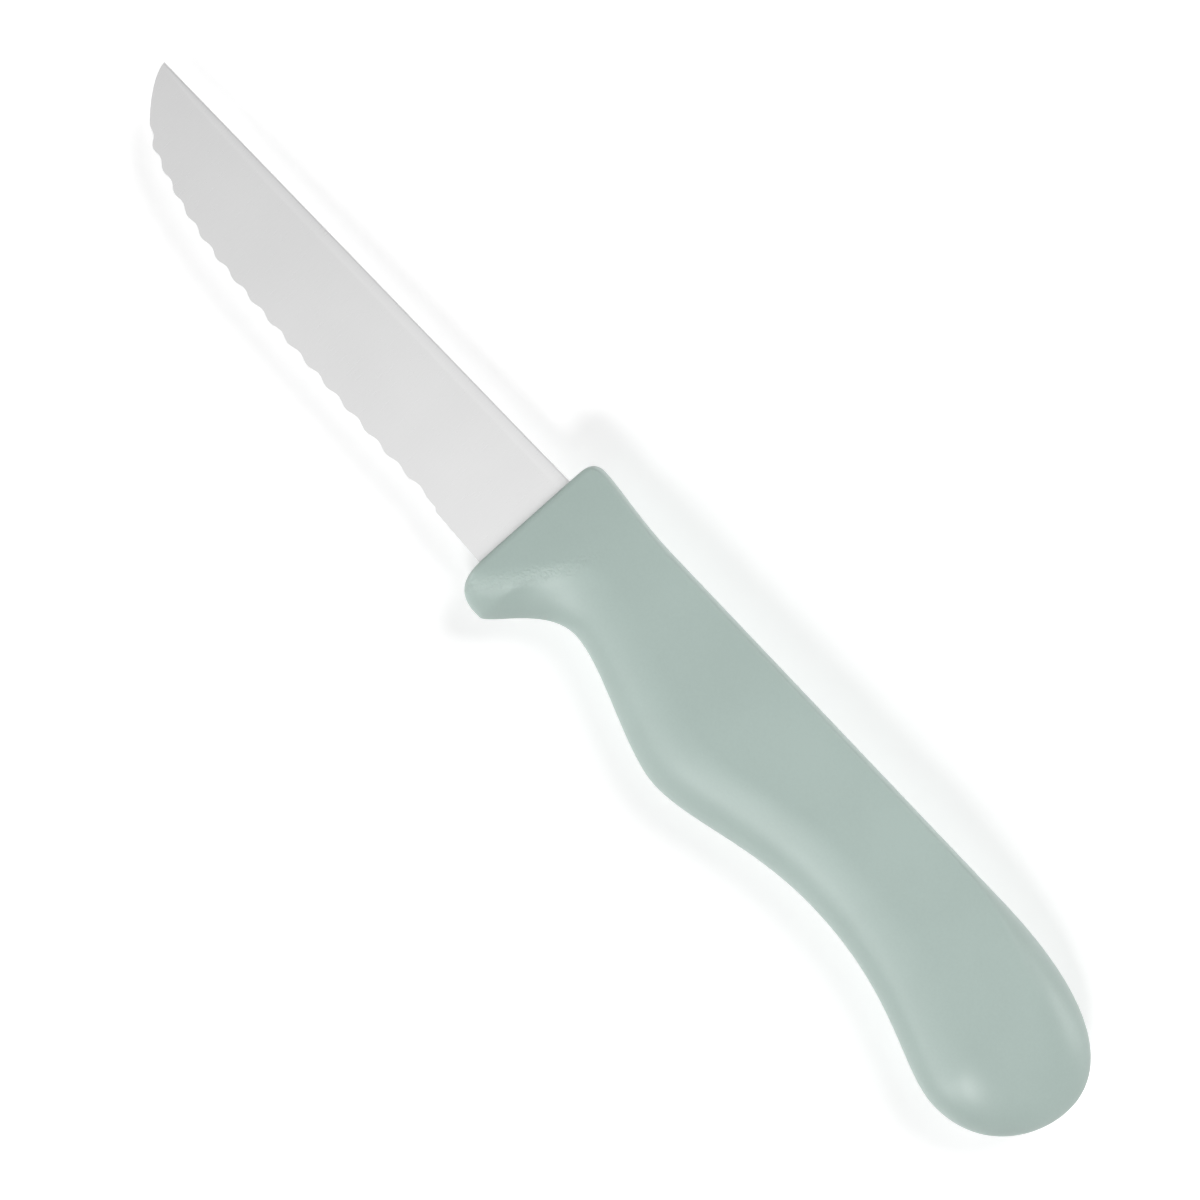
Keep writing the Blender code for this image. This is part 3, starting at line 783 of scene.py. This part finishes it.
def shade_from_lamps(piece):
    """A list for the lamps that leaves a piece out of their light, so that it shows the room, not glare."""
    shaded = bpy.data.collections.new("shaded_from_lamps")
    shaded.objects.link(piece)
    shaded.collection_objects[0].light_linking.link_state = "EXCLUDE"
    return shaded


def add_lamp(name, compass, height, width, irradiance, shaded):
    """A round soft light aimed at the knife, with the irradiance there in white-surface units."""
    compass, height = math.radians(compass), math.radians(height)
    level = math.cos(height)
    way = Vector((level * math.cos(compass), level * math.sin(compass), math.sin(height)))
    light = bpy.data.lights.new(name, "AREA")
    light.shape = "DISK"
    light.size = width
    light.energy = irradiance * math.pi**2 * LAMP_DISTANCE**2
    lamp = bpy.data.objects.new(name, light)
    lamp.location = way * LAMP_DISTANCE
    lamp.rotation_mode = "QUATERNION"
    lamp.rotation_quaternion = way.to_track_quat("Z", "Y")
    lamp.light_linking.receiver_collection = shaded
    bpy.context.scene.collection.objects.link(lamp)


def add_world():
    """Even room light. Polished surfaces see pale walls under a ceiling that darkens towards tip and back.

    The ceiling's shade follows x - CEILING_BACK_SHARE y of the direction, and it takes over from the walls as
    z rises.
    """
    world = bpy.data.worlds.new("room")
    bpy.context.scene.world = world
    world.use_nodes = True
    world.node_tree.nodes.clear()
    nodes = Nodes(world.node_tree)
    way = nodes.split(nodes.add("ShaderNodeTexCoord").outputs["Generated"])
    turn = nodes.math("SUBTRACT", way["X"], nodes.math("MULTIPLY", way["Y"], CEILING_BACK_SHARE))
    ceiling = nodes.ramp(turn, CEILING_TURNS, CEILING_SHADES)
    overhead = nodes.span(way["Z"], WALL_TOP, (0.0, 1.0))
    change = nodes.math("MULTIPLY", nodes.math("SUBTRACT", ceiling, WALL_SHADE), overhead)
    mirrored = nodes.background(nodes.math("ADD", change, WALL_SHADE))
    path = nodes.add("ShaderNodeLightPath").outputs
    polished = nodes.math("MAXIMUM", path["Is Glossy Ray"], path["Is Transmission Ray"])
    lit = nodes.mix_shader(polished, nodes.background(ROOM_LIGHT), mirrored)
    seen = nodes.mix_shader(path["Is Camera Ray"], lit, nodes.background(1.0))
    nodes.join(seen, nodes.add("ShaderNodeOutputWorld").inputs["Surface"])


def add_camera():
    """Straight down on the knife, turned so that it lies across the frame as in the photograph."""
    data = bpy.data.cameras.new("camera")
    data.lens = LENS
    data.sensor_width = SENSOR
    distance = LENS / SENSOR * PHOTO_PIXELS * PIXEL_SIZE
    data.clip_start = distance / CLIP_RANGE
    data.clip_end = distance * CLIP_RANGE
    camera = bpy.data.objects.new("camera", data)
    camera.location = (*PHOTO_MIDDLE, HANDLE_THICKNESS / 2 + distance)
    camera.rotation_euler = (0.0, 0.0, PHOTO_TURN)
    bpy.context.scene.collection.objects.link(camera)
    bpy.context.scene.camera = camera


def dress_handle():
    """The handle's skin, in the place of the solid."""
    handle = add_piece("handle_skin", handle_mesh(), sage_polypropylene(), HANDLE_SHARP_ANGLE)
    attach(handle, "root")
    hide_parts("handle")


def dress_blade():
    """The blade's skin, in the place of the solid."""
    blade = add_piece("blade_skin", blade_mesh(), satin_steel(), BLADE_SHARP_ANGLE)
    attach(blade, "root")
    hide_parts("blade")
    return blade


def set_stage(blade):
    """Floor, lamps, room and camera. The lamps leave the blade out."""
    add_floor()
    shaded = shade_from_lamps(blade)
    for name, values in LAMPS.items():
        add_lamp(name, *values, shaded)
    add_world()
    add_camera()
    bpy.context.scene.view_settings.view_transform = "Standard"


dress_handle()
set_stage(dress_blade())
